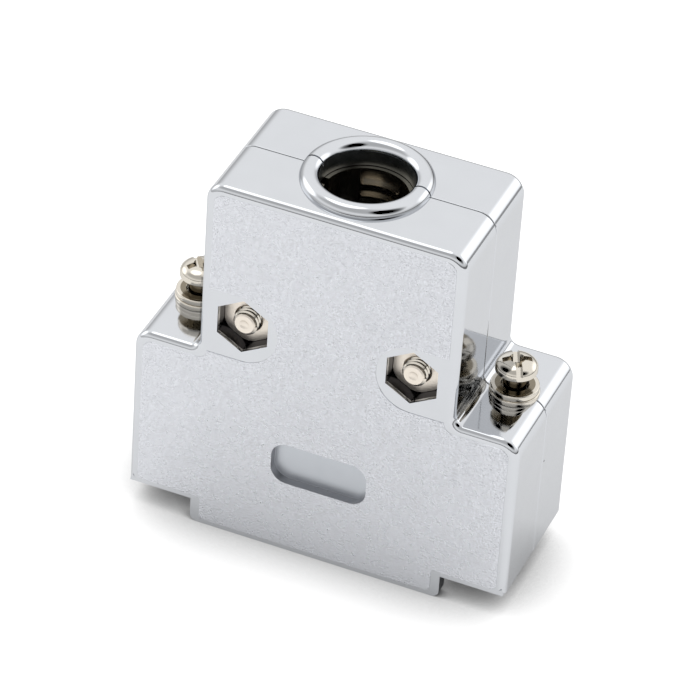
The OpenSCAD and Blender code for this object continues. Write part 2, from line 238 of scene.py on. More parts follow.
# Painted shade: dark olive nickel on the jackscrew's shank, its head's underside and the middle of the
# washers' tops, where head and washers shade each other.
SHADED_NICKEL = Finish("painted_shade_nickel", (0.24, 0.21, 0.16), 0.14, grain=0.002, grain_size=0.12)
NUT_NICKEL = Finish("nut_nickel", (0.86, 0.79, 0.70), 0.36, grain=0.01, grain_size=0.15)
STRAP_NICKEL = Finish("strap_nickel", (0.36, 0.32, 0.26), 0.22, grain=0.003, grain_size=0.2)


# ---------- shop tools, in millimetres ----------


def box_tool(x: Span, y: Span, z: Span) -> bmesh.types.BMesh:
    """Makes a closed box along the axes.

    Args:
        x: Lowest and highest X.
        y: Lowest and highest Y.
        z: Lowest and highest Z.

    Returns:
        The box.
    """
    bm = bmesh.new()
    size = Vector((x[1] - x[0], y[1] - y[0], z[1] - z[0]))
    middle = Vector((x[1] + x[0], y[1] + y[0], z[1] + z[0])) / 2
    bmesh.ops.create_cube(bm, size=1.0, matrix=Matrix.Translation(middle) @ Matrix.Diagonal((*size, 1.0)))
    return bm


def round_tool(
    base: Point, radius: float, length: float, axis: Axis = Axis.Z, sides: int = 96,
    far_radius: float | None = None,
) -> bmesh.types.BMesh:
    """Makes a closed cylinder, cone or prism.

    Args:
        base: Centre of the first face.
        radius: Radius there, to the corners.
        length: Length along the axis, negative to point the other way.
        axis: Row axis that it points along.
        sides: Number of sides.
        far_radius: Radius at the far face, the same where it is left out.

    Returns:
        The solid.
    """
    bm = bmesh.new()
    far = radius if far_radius is None else far_radius
    place = Matrix.Translation(Vector(base)) @ axis.value
    bmesh.ops.create_cone(
        bm, cap_ends=True, segments=sides, depth=abs(length),
        radius1=radius if length > 0 else far, radius2=far if length > 0 else radius,
        matrix=place @ Matrix.Translation((0, 0, length / 2)),
    )
    return bm


def spun_tool(
    profile: Iterable[Span], centre: Span = (0.0, 0.0), start: float = 0.0, sweep: float = 360.0,
    steps: int = 96, rise: float = 0.0,
) -> bmesh.types.BMesh:
    """Spins a closed profile about a vertical axis.

    Args:
        profile: Corners as (radius, Z) pairs.
        centre: X and Y of the axis.
        start: Angle of the first section from +X in degrees.
        sweep: Angle that it turns through in degrees.
        steps: Number of steps over the sweep.
        rise: Height that the profile climbs over the sweep.

    Returns:
        The closed solid.
    """
    bm = bmesh.new()
    whole = abs(sweep) >= 360.0 and rise == 0.0
    face = bm.faces.new([bm.verts.new((radius, 0.0, z)) for radius, z in profile])
    if whole:
        bmesh.ops.delete(bm, geom=[face], context="FACES_ONLY")
    bmesh.ops.rotate(bm, verts=bm.verts, matrix=Matrix.Rotation(math.radians(start), 3, "Z"))
    bmesh.ops.spin(
        bm, geom=[*bm.verts, *bm.edges, *bm.faces], cent=(0, 0, 0), axis=(0, 0, 1),
        dvec=(0, 0, rise / steps), angle=math.radians(sweep), steps=steps, use_merge=whole,
    )
    bmesh.ops.remove_doubles(bm, verts=bm.verts, dist=TINY / 10)
    bmesh.ops.recalc_face_normals(bm, faces=bm.faces)
    bmesh.ops.translate(bm, vec=(*centre, 0), verts=bm.verts)
    return bm


def plate_tool(corners: Iterable[Point], y: Span, segments: int = 12) -> bmesh.types.BMesh:
    """Makes a plate parallel to the front face from an outline with rounded corners.

    Args:
        corners: X, Z and corner radius of each corner, in order round the outline.
        y: Lowest and highest Y.
        segments: Number of segments in each rounded corner.

    Returns:
        The closed plate.
    """
    bm = bmesh.new()
    corners = list(corners)
    verts = [bm.verts.new((x, y[0], z)) for x, z, _ in corners]
    bm.faces.new(verts)
    for vert, (_, _, radius) in zip(verts, corners):
        if radius > 0:
            arms = [edge.other_vert(vert).co - vert.co for edge in vert.link_edges]
            bmesh.ops.bevel(
                bm, geom=[vert], offset=radius / math.tan(arms[0].angle(arms[1]) / 2), offset_type="OFFSET",
                segments=segments, profile=0.5, affect="VERTICES", clamp_overlap=False, material=-1,
            )
    moved = bmesh.ops.extrude_face_region(bm, geom=list(bm.faces))["geom"]
    far_verts = [v for v in moved if isinstance(v, bmesh.types.BMVert)]
    bmesh.ops.translate(bm, vec=(0, y[1] - y[0], 0), verts=far_verts)
    bmesh.ops.recalc_face_normals(bm, faces=bm.faces)
    return bm


def bevel_where(
    bm: bmesh.types.BMesh, test: Callable[[Vector, Vector], bool], offset: float, segments: int
) -> None:
    """Rounds the edges whose two ends pass a test.

    Args:
        bm: Mesh that is changed.
        test: Takes both ends of an edge.
        offset: Width of the rounding on each face.
        segments: Number of segments in it.
    """
    edges = [e for e in bm.edges if test(e.verts[0].co, e.verts[1].co)]
    bmesh.ops.bevel(
        bm, geom=edges, offset=offset, offset_type="OFFSET", segments=segments,
        profile=0.5, affect="EDGES", clamp_overlap=False, material=-1,
    )


class Workpiece:
    """A named mesh that exact boolean steps add to and cut, in millimetres until it is finished."""

    def __init__(self, name: str, blank: bmesh.types.BMesh) -> None:
        """Starts the piece from a closed blank, which is used up."""
        self.item = self.as_object(name, blank)

    @staticmethod
    def as_object(name: str, bm: bmesh.types.BMesh) -> bpy.types.Object:
        """Turns a bmesh into an object in the scene and frees it.

        Args:
            name: Name of the object.
            bm: Mesh that it takes.

        Returns:
            The object.
        """
        mesh = bpy.data.meshes.new(name)
        bm.to_mesh(mesh)
        bm.free()
        item = bpy.data.objects.new(name, mesh)
        bpy.context.scene.collection.objects.link(item)
        return item

    def step(self, operation: str, tools: Iterable[bmesh.types.BMesh]) -> "Workpiece":
        """Applies one boolean operation for each tool.

        Args:
            operation: Blender's name of the operation.
            tools: Closed tools, which are used up.

        Returns:
            This piece.
        """
        for bm in tools:
            tool = self.as_object("tool", bm)
            change = self.item.modifiers.new("step", "BOOLEAN")
            change.operation = operation
            change.solver = "EXACT"
            change.object = tool
            self.settle()
            bpy.data.objects.remove(tool)
        return self

    def settle(self) -> None:
        """Replaces the mesh by what its modifiers make of it."""
        ready = self.item.evaluated_get(bpy.context.evaluated_depsgraph_get())
        mesh = bpy.data.meshes.new_from_object(ready)
        self.item.modifiers.clear()
        old, self.item.data = self.item.data, mesh
        bpy.data.meshes.remove(old)

    def add(self, *tools: bmesh.types.BMesh) -> "Workpiece":
        """Joins tools to the piece."""
        return self.step("UNION", tools)

    def cut(self, *tools: bmesh.types.BMesh) -> "Workpiece":
        """Takes tools away from the piece."""
        return self.step("DIFFERENCE", tools)

    def finish(
        self, finish: Finish, slot: Slot, body: str, nodes: Iterable[str], sharp: float = 32.0
    ) -> bpy.types.Object:
        """Scales the piece to metres, smooths and dresses it, and hangs it on its body.

        Args:
            finish: Surface of the whole piece.
            slot: Slot of the record that the finish belongs to; not used.
            body: Body that the piece rides on.
            nodes: Nodes that it replaces.
            sharp: Angle in degrees past which an edge stays sharp.

        Returns:
            The finished object.
        """
        mesh = self.item.data
        bm = bmesh.new()
        bm.from_mesh(mesh)
        bmesh.ops.remove_doubles(bm, verts=bm.verts, dist=2 * TINY)
        bmesh.ops.dissolve_degenerate(bm, edges=bm.edges, dist=TINY)
        bmesh.ops.scale(bm, vec=(MM, MM, MM), verts=bm.verts)
        bm.to_mesh(mesh)
        bm.free()
        mesh.materials.clear()
        mesh.materials.append(finish.build())
        mesh.shade_smooth()
        mesh.set_sharp_from_angle(angle=math.radians(sharp))
        smooth = self.item.modifiers.new("face_weights", "WEIGHTED_NORMAL")
        smooth.keep_sharp = True
        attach(self.item, body)
        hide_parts(*nodes)
        return self.item


# ---------- shells ----------


@dataclass
class Shell:
    """One half of the cast hood. Depths are distances from the parting plane.

    Args:
        face: Which half it is.
        half_w: Half width across the shoulders.
        ear_z: Height of the ears' underside.
        shoulder_z: Height of the shoulders.
        tower_x: Half width of the tower, and of the lip below the ears.
        tower_z: Height of the tower.
        half_d: Depth of the outer face.
        inner_d: Depth of the rooms.
        wall: Thickness of the side walls and shoulders.
        corner_r: Radius of the outline's outer corners.
        neck_r: Radius where the tower meets the shoulders.
        lip_r: Radius of the lip's corners.
        foot_r: Radius of the ears' lower corners.
        edge_r: Rounding of the outer face's edges.
        seam: Depth at which the half starts.
        seam_r: Width of the chamfer along the parting line.
        groove: How far the step behind the parting line lies in from the outline.
        step_d: Depth at which that step starts in the front half.
        step_gap: What stays open between the step and the rear half.
        ceiling_z: Height of the tower's ceiling.
        entry_r: Radius of the cable entry.
        collar_r: Radius of the bead round it, to the bead's core.
        bead_r: Radius of the bead's section.
        bead_z: Height of the bead's core.
        flange_x: Half width of the slot for the connector's flange.
        flange_z: Lowest and highest point of that slot.
        mouth_x: Half width of the mouth below the slot.
        rib_t: Thickness of the ribs and shelves.
        rib_back: How far the ribs and posts stand back from the seam.
        guide_back: How far the jackscrew guides stand back from it.
        guide_lift: How far the guides stand above the flange slot.
        guide_in: How far the guides start beside the mouth.
        shelf_x: Half width of the gap between the clamp's shelves.
        shelf_z: Height of the shelves' upper side.
        cradle_in: How far the cradle ribs start inside that gap.
        cradle_rise: How far they run up into the ceiling.
        cradle_turn: Their angle on each side of the middle, in degrees.
        case_x: Distance of the case screws from the middle.
        case_z: Height of the case screws.
        post_r: Radius of the posts round the case screws.
        front_boss: Radius and depth of the wide boss in the front half.
        rear_boss: Radius and depth of the wide boss in the rear half.
        jack_x: Distance of the jackscrews from the middle.
        ear_hole_r: Radius of the jackscrew's hole in the ear.
        flange_hole_r: Radius of its hole above the flange slot.
        neck_hole_r: Radius of its hole in the shoulder.
        case_hole_r: Radius of the case screw's hole.
        panel_rise: Height of the grained panel.
        panel_inset: Distance of the panel from the outline.
        panel_foot: Distance of the panel from the ears' underside and the lip's edge.
        panel_radii: Radii of its tower, neck, shoulder, ear, inner ear and lip corners.
        panel_root: How far the panel is sunk into the face.
        panel_edge: Rounding of the panel's edge.
        pad_r: Half height of the smooth lands round the nut pockets.
        pad_corner_r: Radius of their corners.
        pad_shift: Distance of their middle from the case screw, outwards and downwards.
        badge_x: Half width of the recess.
        badge_z: Lowest and highest point of the recess.
        badge_d: Depth of its floor.
        badge_corner_r: Radius of its corners.
        badge_edge: Rounding along its floor.
        nut_r: Radius of the nut pockets, to the corners.
        nut_rim_r: Radius that their chamfered rims open to.
        nut_rim: Depth of those rims below the face.
        head_r: Radius of the counterbores of the case screws.
        head_rim_r: Radius that their chamfered rims open to.
        head_rim: Depth of those rims below the face.
        pit: Place of the small casting pit.
        pit_r: Radius of the pit.
    """

    face: Face
    half_w: float = 20.2
    ear_z: float = 2.7
    shoulder_z: float = SHOULDER_Z
    tower_x: float = 13.4
    tower_z: float = 41.1
    half_d: float = 7.7
    inner_d: float = 6.3
    wall: float = 1.4
    corner_r: float = 2.0
    neck_r: float = 0.9
    lip_r: float = 0.8
    foot_r: float = 0.18
    edge_r: float = 0.75
    seam: float = 0.05
    seam_r: float = 0.08
    groove: float = 0.5
    step_d: float = 0.6
    step_gap: float = 0.004
    ceiling_z: float = 39.5
    entry_r: float = 4.6
    collar_r: float = 5.5
    bead_r: float = 1.0
    bead_z: float = 41.0
    flange_x: float = 19.65
    flange_z: Span = (3.9, 5.15)
    mouth_x: float = 12.95
    rib_t: float = 1.1
    rib_back: float = 0.005
    guide_back: float = 0.012
    guide_lift: float = 0.006
    guide_in: float = 0.5
    shelf_x: float = 5.15
    shelf_z: float = 34.43
    cradle_in: float = 0.4
    cradle_rise: float = 0.8
    cradle_turn: float = 30.0
    case_x: float = CASE_X
    case_z: float = CASE_Z
    post_r: float = 2.4
    front_boss: Span = (3.887, 2.55)
    rear_boss: Span = (3.45, 4.3)
    jack_x: float = JACK_X
    ear_hole_r: float = 2.5
    flange_hole_r: float = 1.38
    neck_hole_r: float = 1.205
    case_hole_r: float = 1.45
    panel_rise: float = 0.05
    panel_inset: float = 0.95
    panel_foot: float = 0.5
    panel_radii: tuple[float, ...] = (1.1, 1.0, 1.1, 0.6, 0.3, 0.6)
    panel_root: float = 0.3
    panel_edge: float = 0.06
    pad_r: float = 3.8
    pad_corner_r: float = 3.7
    pad_shift: Span = (0.13, 0.35)
    badge_x: float = 5.05
    badge_z: Span = (8.275, 13.025)
    badge_d: float = 6.8
    badge_corner_r: float = 1.7
    badge_edge: float = 0.04
    nut_r: float = 2.933
    nut_rim_r: float = 3.13
    nut_rim: float = 0.3
    head_r: float = 2.45
    head_rim_r: float = 2.75
    head_rim: float = 0.15
    pit: Point = (20.13, 0.52, 13.82)
    pit_r: float = 0.17

    def build(self) -> bpy.types.Object:
        """Models and dresses this half.

        Returns:
            The finished shell.
        """
        piece = Workpiece(f"dressed_{self.face.label}_shell", self.blank())
        piece.add(self.collar())
        if self.face is Face.FRONT:
            piece.add(*self.tongue())
        piece.cut(*self.rooms())
        piece.add(*self.ribs(), *self.bosses())
        piece.cut(*self.holes())
        if self.face is Face.FRONT:
            piece.add(self.panel())
            piece.cut(*self.pads(), self.badge(), *self.nut_pockets())
        else:
            pit = round_tool(self.pit, 0.05, 0.12, Axis.X, sides=12, far_radius=self.pit_r)
            piece.cut(*self.head_pockets(), pit)
        item = piece.finish(MIRROR_PLATE, Slot.SHELL, "hood", [f"{self.face.label}_shell"])
        self.dress_regions(item)
        return item

    def outline(self) -> list[Point]:
        """Corners of the silhouette with the lip, as X, Z and radius."""
        return both_sides([
            (self.tower_x, self.tower_z, self.corner_r),
            (self.tower_x, self.shoulder_z, self.neck_r),
            (self.half_w, self.shoulder_z, self.corner_r),
            (self.half_w, self.ear_z, self.foot_r),
            (self.tower_x, self.ear_z, 0.0),
            (self.tower_x, 0.0, self.lip_r),
        ])

    def blank(self) -> bmesh.types.BMesh:
        """Makes the solid half, rounded at its outer face and chamfered along the parting line.

        Returns:
            The closed half.
        """
        bm = plate_tool(self.outline(), self.face.depth(self.seam, self.half_d), segments=14)
        outer, inner = self.face.value * self.half_d, self.face.value * self.seam

        def on_face(a: Vector, b: Vector) -> bool:
            """Tells whether an edge of the outer face is rounded.

            Args:
                a: One end of the edge.
                b: Its other end.

            Returns:
                Whether it lies above the ears' underside or runs up an ear's side.
            """
            flat = all(abs(p.y - outer) < TINY for p in (a, b))
            above = all(p.z > self.ear_z + 10 * TINY for p in (a, b))
            at_ear = abs(a.x - b.x) < TINY and abs(a.x) > (self.tower_x + self.half_w) / 2
            return flat and (above or at_ear)

        bevel_where(bm, on_face, self.edge_r, segments=10)
        bevel_where(bm, lambda a, b: all(abs(p.y - inner) < TINY for p in (a, b)), self.seam_r, segments=3)
        return bm

    @property
    def bead_y(self) -> float:
        """Depth at which each half of the bead starts."""
        return self.seam + 0.7 * self.seam_r

    def tongue(self) -> list[bmesh.types.BMesh]:
        """Makes what closes the gap between the halves, behind the parting line and in the bead.

        Returns:
            A low step inside the outline, and a core in each end of the bead.
        """
        half, tower = self.half_w - self.groove, self.tower_x - self.groove
        corners = both_sides([
            (tower, self.tower_z - self.groove, self.corner_r - self.groove),
            (tower, self.shoulder_z - self.groove, self.neck_r),
            (half, self.shoulder_z - self.groove, self.corner_r - self.groove),
            (half, self.ear_z - 0.4, 0.0),
        ])
        step = plate_tool(corners, (-self.step_d, self.seam - self.step_gap), segments=8)
        core_r, length = 0.7 * self.bead_r, self.step_d + (self.bead_y - self.step_gap)
        ends = [(side.value * self.collar_r, -self.step_d, self.bead_z) for side in Side]
        return [step, *(round_tool(end, core_r, length, Axis.Y, sides=24) for end in ends)]

    def collar(self) -> bmesh.types.BMesh:
        """Makes this half of the bead round the cable entry.

        Returns:
            The closed half ring.
        """
        core, height, radius = self.collar_r, self.bead_z, self.bead_r
        turns = [2 * math.pi * i / 40 for i in range(40)]
        profile = [(core + radius * math.cos(a), height + radius * math.sin(a)) for a in turns]
        bm = spun_tool(profile, sweep=180.0 * self.face.value, steps=72)
        bmesh.ops.translate(bm, vec=(0, self.face.value * self.bead_y, 0), verts=bm.verts)
        return bm

    def rooms(self) -> list[bmesh.types.BMesh]:
        """Makes the tools for the inner rooms.

        Returns:
            Tower room, base room, flange slot, mouth, and the room inside the lip.
        """
        y = self.face.depth(-PAST, self.inner_d)
        slot_low, slot_high = self.flange_z
        tower, base = self.tower_x - self.wall, self.half_w - self.wall
        return [
            box_tool((-tower, tower), y, (slot_low, self.ceiling_z)),
            box_tool((-base, base), y, (slot_low, self.shoulder_z - self.wall)),
            box_tool((-self.flange_x, self.flange_x), y, (slot_low, slot_high)),
            box_tool((-self.mouth_x, self.mouth_x), y, (self.ear_z - PAST, slot_low + PAST / 2)),
            box_tool((-self.half_w, self.half_w), y, (-PAST, self.ear_z)),
        ]

    def ribs(self) -> list[bmesh.types.BMesh]:
        """Makes the inner ribs of both sides.

        Returns:
            For each side the rib beside the jackscrew, its guide, and the clamp's shelf and cradle.
        """
        made = []
        y = self.face.depth(self.seam + self.rib_back, self.inner_d + self.wall / 2)
        guide_y = self.face.depth(self.seam + self.guide_back, self.inner_d + self.wall / 3)
        slot_top, top = self.flange_z[1], self.shoulder_z - self.wall / 2
        guide_z = (slot_top + self.guide_lift, slot_top + self.rib_t)
        guide_x = (self.mouth_x + self.guide_in, self.half_w - self.wall * 0.75)
        shelf_z = (self.shelf_z - self.rib_t, self.shelf_z)
        for side in Side:
            made.append(box_tool(side.across(self.mouth_x, self.mouth_x + self.rib_t), y, (slot_top, top)))
            made.append(box_tool(side.across(*guide_x), guide_y, guide_z))
            made.append(box_tool(side.across(self.shelf_x, self.tower_x - self.wall / 2), y, shelf_z))
            made.append(self.cradle(side, shelf_z[0]))
        return made

    def cradle(self, side: Side, low: float) -> bmesh.types.BMesh:
        """Makes one slanting rib behind the clamp strap.

        Args:
            side: Side that it leans to.
            low: Height where it starts.

        Returns:
            The closed rib.
        """
        reach = (self.inner_d + self.wall / 2) / math.cos(math.radians(self.cradle_turn))
        thick = (-self.rib_t / 2, self.rib_t / 2)
        bm = box_tool(thick, (self.shelf_x - self.cradle_in, reach), (low, self.ceiling_z + self.cradle_rise))
        lean = Matrix.Rotation(math.radians(-self.cradle_turn * side.value), 3, "Z")
        bmesh.ops.rotate(bm, verts=bm.verts, matrix=lean)
        if self.face is Face.FRONT:
            bmesh.ops.rotate(bm, verts=bm.verts, matrix=Matrix.Rotation(math.pi, 3, "Z"))
        return bm

    def bosses(self) -> list[bmesh.types.BMesh]:
        """Makes the stepped bosses at the case screws.

        Returns:
            For each side the narrow post and the wide boss.
        """
        wide_r, floor = self.front_boss if self.face is Face.FRONT else self.rear_boss
        sign = self.face.value
        post_end, wide_end = self.inner_d + 0.3, self.half_d - self.edge_r
        made = []
        for side in Side:
            x = side.value * self.case_x
            post = (x, sign * (self.seam + self.rib_back), self.case_z)
            made.append(round_tool(post, self.post_r, sign * post_end, Axis.Y))
            made.append(round_tool((x, sign * floor, self.case_z), wide_r, sign * (wide_end - floor), Axis.Y))
        return made

    def holes(self) -> list[bmesh.types.BMesh]:
        """Makes the tools for the round holes.

        Returns:
            The cable entry, and for each side the jackscrew's three holes and the case screw's.
        """
        through = self.half_d + 0.8
        made = [round_tool((0, 0, self.ceiling_z - PAST / 2), self.entry_r, 5.0, sides=144)]
        for side in Side:
            for z, radius, length in (
                (self.ear_z, self.ear_hole_r, 2.0),
                (self.flange_z[1], self.flange_hole_r, 2.0),
                (self.shoulder_z - self.wall, self.neck_hole_r, 3.0),
            ):
                made.append(round_tool((side.value * self.jack_x, 0, z - PAST / 2), radius, length))
            start = (side.value * self.case_x, -through, self.case_z)
            made.append(round_tool(start, self.case_hole_r, 2 * through, Axis.Y))
        return made

    def panel(self) -> bmesh.types.BMesh:
        """Makes the raised grained panel of the front face.

        Returns:
            The closed panel.
        """
        tower, half = self.tower_x - self.panel_inset, self.half_w - self.panel_inset
        shoulder_z, ear_z = self.shoulder_z - self.panel_inset, self.ear_z + self.panel_foot
        places = (
            (tower, self.tower_z - self.panel_inset), (tower, shoulder_z), (half, shoulder_z),
            (half, ear_z), (tower, ear_z), (tower, self.panel_foot),
        )
        corners = both_sides([(x, z, radius) for (x, z), radius in zip(places, self.panel_radii)])
        out = self.half_d + self.panel_rise
        bm = plate_tool(corners, (-out, -(self.half_d - self.panel_root)), segments=8)
        bevel_where(
            bm, lambda a, b: all(abs(p.y + out) < TINY for p in (a, b)), self.panel_edge, segments=2
        )
        return bm

    def pads(self) -> list[bmesh.types.BMesh]:
        """Makes the tools for the smooth lands round the nut pockets, cut from the panel to the face.

        Returns:
            One plate for each side, open towards the tower's edge.
        """
        outwards, down = self.pad_shift
        y = (-self.half_d - PAST, -self.half_d)
        low, high = self.case_z - self.pad_r - down, self.case_z + self.pad_r - down
        inner, outer = self.case_x + outwards - self.pad_r, self.tower_x + PAST
        round_r = self.pad_corner_r
        corners = [(inner, low, round_r), (inner, high, round_r), (outer, high, 0.0), (outer, low, 0.0)]
        return [plate_tool([(side.value * x, z, r) for x, z, r in corners], y, segments=20) for side in Side]

    def badge(self) -> bmesh.types.BMesh:
        """Makes the tool for the bare recess low on the front face.

        Returns:
            The closed plate, rounded along its floor.
        """
        low, high = self.badge_z
        x, round_r = self.badge_x, self.badge_corner_r
        corners = [(-x, low, round_r), (x, low, round_r), (x, high, round_r), (-x, high, round_r)]
        bm = plate_tool(corners, (-self.half_d - PAST, -self.badge_d), segments=12)
        bevel_where(
            bm, lambda a, b: all(abs(p.y + self.badge_d) < TINY for p in (a, b)), self.badge_edge, segments=2
        )
        return bm

    def nut_pockets(self) -> list[bmesh.types.BMesh]:
        """Makes the tools for the hexagonal pockets of the case nuts.

        Returns:
            For each side the pocket and the chamfer at its rim.
        """
        made = []
        for side in Side:
            x = side.value * self.case_x
            made.append(round_tool((x, -NUT_FLOOR, self.case_z), self.nut_r, -6.0, Axis.Y, sides=6))
            rim = (x, -self.half_d + self.nut_rim, self.case_z)
            made.append(round_tool(rim, self.nut_r, -0.5, Axis.Y, sides=6, far_radius=self.nut_rim_r))
        return made

    def head_pockets(self) -> list[bmesh.types.BMesh]:
        """Makes the tools for the counterbores of the case screws in the back face.

        Returns:
            For each side the counterbore and the chamfer at its rim.
        """
        made = []
        for side in Side:
            x = side.value * self.case_x
            made.append(round_tool((x, HEAD_FLOOR, self.case_z), self.head_r, 4.0, Axis.Y))
            rim = (x, self.half_d - self.head_rim, self.case_z)
            made.append(round_tool(rim, self.head_r, 2 * self.head_rim, Axis.Y, far_radius=self.head_rim_r))
        return made

    def dress_regions(self, item: bpy.types.Object) -> None:
        """Gives the panel its grain and the recess floor its rougher finish, and paints shade on the pockets,
        pit, rooms, recess walls and cable entry.

        Args:
            item: The finished shell.
        """
        finishes = (SATIN_PLATE, POCKET_SHADE, INNER_SHADE, BORE_SHADE, BADGE_PLATE)
        for finish in finishes:
            item.data.materials.append(finish.build())
        for polygon in item.data.polygons:
            found = self.region(polygon.center / MM, abs(polygon.normal.z))
            if found is not None:
                polygon.material_index = 1 + finishes.index(found)

    def region(self, spot: Vector, tilt: float) -> Finish | None:
        """Finds the finish of the region that a face lies in.

        Args:
            spot: Middle of the face, in millimetres.
            tilt: Size of the vertical part of the face's normal.

        Returns:
            The finish, or None where the bright plate of the whole shell stays.
        """
        near = 0.05
        depth = abs(spot.y)
        to_case = math.hypot(abs(spot.x) - self.case_x, spot.z - self.case_z)
        low, high = self.badge_z[0] - 1.5 * near, self.badge_z[1] + 1.5 * near
        in_badge = abs(spot.x) < self.badge_x + near and low < spot.z < high
        if depth > self.half_d + self.panel_rise / 2:
            return SATIN_PLATE
        # Near-black painted shade on the nut pockets' walls.
        if to_case < self.nut_r + near and NUT_FLOOR - 0.15 < depth < self.half_d - self.nut_rim - near:
            return POCKET_SHADE
        if in_badge and abs(spot.y + self.badge_d) < 0.02:
            return BADGE_PLATE
        # Darker painted shade on the recess's walls.
        if in_badge and spot.y < 0.1 - self.badge_d and depth < self.half_d - near:
            return INNER_SHADE
        # Near-black painted shade in the pit.
        if math.dist(spot, self.pit) < self.pit_r:
            return POCKET_SHADE
        # Darker painted shade on the inner rooms.
        if depth < self.inner_d + near and self.is_inside(spot):
            return INNER_SHADE
        # Dark painted shade on the cable entry's wall.
        if math.hypot(spot.x, spot.y) < self.entry_r + 0.02 and tilt < 0.3:
            return BORE_SHADE
        return None

    def is_inside(self, spot: Vector) -> bool:
        """Tells whether a point is in the rooms of the hood, behind its outer walls."""
        half = self.tower_x if spot.z > self.shoulder_z - 0.5 else self.half_w
        return abs(spot.x) < half - self.wall / 2 and self.ear_z + 0.1 < spot.z < self.ceiling_z + 0.3


# ---------- screws, nuts and washers ----------


def pan_profile(diameter: float, height: float, rim: float, crown: float) -> list[Span]:
    """Draws the profile of a pan head.

    Args:
        diameter: Diameter of the head.
        height: Height of the head.
        rim: Width of its rounded upper rim.
        crown: Height of that rim.

    Returns:
        The closed profile, as (radius, Z) pairs.
    """
    half, side, foot = diameter / 2, height - crown, 0.12
    turns = [math.radians(7.5 * i) for i in range(13)]
    arc = [(half - rim + rim * math.cos(a), side + crown * math.sin(a)) for a in turns]
    return [(0.0, 0.0), (half - foot, 0.0), (half, foot), *arc, (0.0, height)]


def thread_ridge(crest: float, root: float, low: float, high: float) -> bmesh.types.BMesh:
    """Makes the helical ridge of a screw thread about the Z axis.

    Args:
        crest: Radius at the crest.
        root: Radius at the root, which the ridge starts inside.
        low: Height where the ridge starts.
        high: Height where it ends.

    Returns:
        The closed ridge.
    """
    turns = (high - low) / PITCH
    half, flat, sunk = 0.42 * PITCH, 0.06 * PITCH, root - 0.1
    profile = [(sunk, low - half), (crest, low - flat), (crest, low + flat), (sunk, low + half)]
    return spun_tool(profile, sweep=360.0 * turns, steps=int(28 * turns), rise=high - low)


@dataclass
class Screw:
    """Pan-head screw along +Z with its head's underside at z = 0.

    Args:
        head_d: Diameter of the head.
        head_h: Height of the head.
        rim: Width of the head's rounded upper rim.
        crown: Height of that rim.
        slot_w: Width of the drive slot.
        slot_depth: Depth of the slot.
        cross: Length of the shorter arms that cross the slot.
    """

    head_d: float
    head_h: float
    rim: float
    crown: float
    slot_w: float = 0.6
    slot_depth: float = 0.75
    cross: float = 2.7

    def head(self, name: str) -> Workpiece:
        """Makes the head with its slotted cross recess.

        Args:
            name: Name of the screw's piece.

        Returns:
            The head, which the shank is added to.
        """
        profile = pan_profile(self.head_d, self.head_h, self.rim, self.crown)
        piece = Workpiece(name, spun_tool(profile, steps=72))
        half, floor, top = self.slot_w / 2, self.head_h - self.slot_depth, self.head_h + PAST
        centre, length = (0, 0, floor - half), self.slot_depth + half + 0.5
        piece.cut(
            box_tool((-half, half), (-self.head_d, self.head_d), (floor, top)),
            box_tool((-self.cross / 2, self.cross / 2), (-half, half), (floor, top)),
            round_tool(centre, half, length, far_radius=1.5 * self.slot_w, sides=24),
        )
        return piece


@dataclass
class Jackscrew:
    """Captive jackscrew with its ring groove, thread and slotted cross head.

    Args:
        side: Side that it stands on.
        turn: Turn of its head about the screw's axis, in degrees.
        x: Distance from the middle.
        length: Height of the head's underside, and length of the screw below it.
        thread_z: Height where the thread ends.
        thread_r: Radius of the thread's crest.
        thread_h: Height of the thread.
        shank_r: Radius of the shank.
        groove_r: Radius of the ring groove.
        groove_z: Lowest and highest point of that groove.
        tip_r: Radius of the tip.
        tip_h: Height of the tip's chamfer.
        painted_shade_z: Height above which the shank and the head's underside carry a painted shade.
    """

    side: Side
    turn: float
    x: float = JACK_X
    length: float = 24.1
    thread_z: float = 5.0
    thread_r: float = 1.3
    thread_h: float = 0.2
    shank_r: float = 1.125
    groove_r: float = 0.85
    groove_z: Span = (15.45, 16.05)
    tip_r: float = 0.75
    tip_h: float = 0.35
    painted_shade_z: float = 6.0

    def build(self) -> bpy.types.Object:
        """Models and dresses the jackscrew.

        Returns:
            The finished screw.
        """
        head = Screw(head_d=4.2, head_h=1.45, rim=1.75, crown=0.95, slot_w=0.65, slot_depth=0.85, cross=2.9)
        piece = head.head(f"dressed_{self.side.label}_jackscrew")
        low, high = (z - self.length for z in self.groove_z)
        tip, end = -self.length, self.thread_z - self.length
        root, in_head = self.thread_r - self.thread_h, 0.2
        profile = [
            (0.0, tip), (self.tip_r, tip), (root, tip + self.tip_h), (root, end - 0.1),
            (self.shank_r, end + 0.05), (self.shank_r, low), (self.groove_r, low), (self.groove_r, high),
            (self.shank_r, high), (self.shank_r, in_head), (0.0, in_head),
        ]
        piece.add(spun_tool(profile, steps=48))
        join(piece, thread_ridge(self.thread_r, root, tip + self.tip_h, end - 0.25))
        turn = Matrix.Rotation(math.radians(self.turn), 4, "Z")
        place(piece, Matrix.Translation((self.side.value * self.x, 0, self.length)) @ turn)
        name = self.side.label
        item = piece.finish(SCREW_NICKEL, Slot.SCREW, f"{name}_screw", [f"{name}_jackscrew"])
        # Painted shade on the shank and the head's underside, where the washers and the head shade them.
        item.data.materials.append(SHADED_NICKEL.build())
        for polygon in item.data.polygons:
            if self.painted_shade_z < polygon.center.z / MM < self.length + 0.02:
                polygon.material_index = 1
        return item


